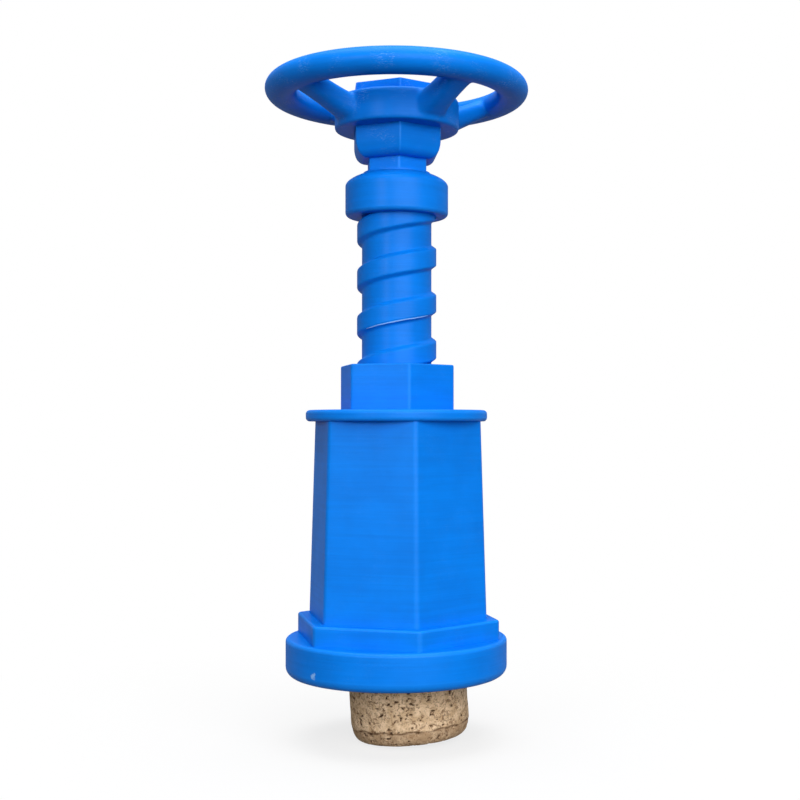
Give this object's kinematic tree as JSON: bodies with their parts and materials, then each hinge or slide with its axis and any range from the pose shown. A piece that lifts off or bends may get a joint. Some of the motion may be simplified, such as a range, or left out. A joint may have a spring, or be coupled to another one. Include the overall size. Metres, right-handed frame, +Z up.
{
  "type": "corkscrew",
  "caption": "Screw corkscrew shaped like a gate valve: a handwheel turns a coarse spindle in a hexagonal housing, and its worm lifts the cork. Shown raised with a drawn cork.",
  "frame": {"origin": "on the spindle's axis, level with the lowest point of the drawn cork", "axes": "+Z up along the spindle towards the handwheel, -Y towards the viewer of the picture, +X to the viewer's right"},
  "size_m": [0.0538, 0.0538, 0.1345],
  "materials": {
    "blue_plastic": "satin printed plastic with fine level layer lines",
    "steel": "bright drawn wire",
    "cork": "matt natural cork with dark pores"
  },
  "bodies": {
    "housing": {"housing": "blue_plastic", "top_flange": "blue_plastic", "bonnet_nut": "blue_plastic", "foot": "blue_plastic", "base_ring": "blue_plastic"},
    "collar": {"stop_collar": "blue_plastic"},
    "spindle": {"spindle": "blue_plastic", "handwheel": "blue_plastic", "wheel_nut": "blue_plastic", "lock_nut": "blue_plastic", "retaining_ring": "steel", "worm": "steel", "worm_pin": "steel"},
    "cork": {"cork": "cork"}
  },
  "joints": [
    {"name": "spindle_travel", "type": "slide", "parent": "housing", "child": "collar", "axis": [0, 0, 1], "range_m": [-0.0301, 0.0001]},
    {"name": "wheel_turn", "type": "hinge", "parent": "collar", "child": "spindle", "pos_m": [0, 0, 0.11], "axis": [0, 0, 1], "range_deg": [-1142.86, 0]},
    {"name": "cork_release", "type": "slide", "parent": "spindle", "child": "cork", "axis": [0, 0, 1], "range_m": [-0.045, 0]}
  ],
  "couplings": [
    {"joint": "spindle_travel", "follows": "wheel_turn", "m_per_rad": 0.001504}
  ]
}
